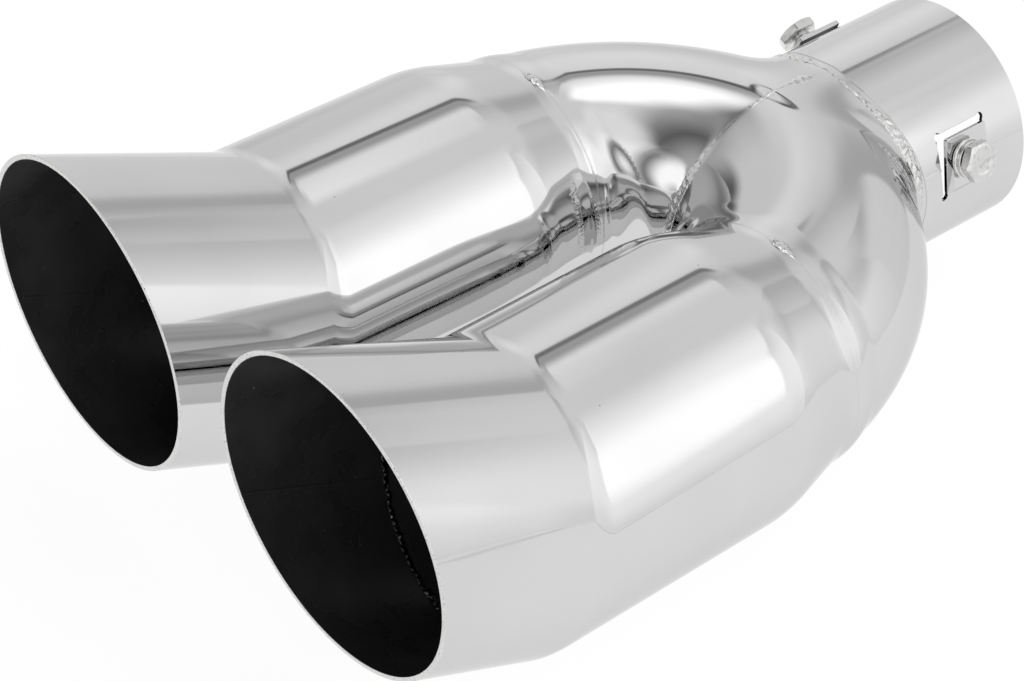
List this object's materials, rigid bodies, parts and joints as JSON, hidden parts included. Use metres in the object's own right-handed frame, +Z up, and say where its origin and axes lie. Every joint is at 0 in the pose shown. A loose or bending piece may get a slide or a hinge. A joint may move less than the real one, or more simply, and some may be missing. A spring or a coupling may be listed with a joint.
{
  "type": "exhaust tip",
  "caption": "Twin-outlet exhaust tip of polished tube: a clamp collar over a pair of mitred elbows, straight barrels and upturned slant-cut mouths.",
  "frame": {"origin": "centre of the inlet collar's open end", "axes": "+Y along the collar's axis, out of it towards the car's tail pipe; +X to the right for someone who looks along +Y; +Z up, the way the mouths turn"},
  "size_m": [0.1684, 0.2475, 0.1011],
  "materials": {
    "polished_steel": "polished",
    "screw_steel": "satin"
  },
  "bodies": {
    "root": {"inlet_collar": "polished_steel", "elbow_right": "polished_steel", "elbow_left": "polished_steel", "barrel_right": "polished_steel", "barrel_left": "polished_steel", "outlet_right": "polished_steel", "outlet_left": "polished_steel", "clamp_boss_1": "screw_steel", "clamp_boss_2": "screw_steel", "clamp_boss_3": "screw_steel", "clamp_bolt_1": "screw_steel", "clamp_bolt_2": "screw_steel", "clamp_bolt_3": "screw_steel"}
  },
  "joints": []
}
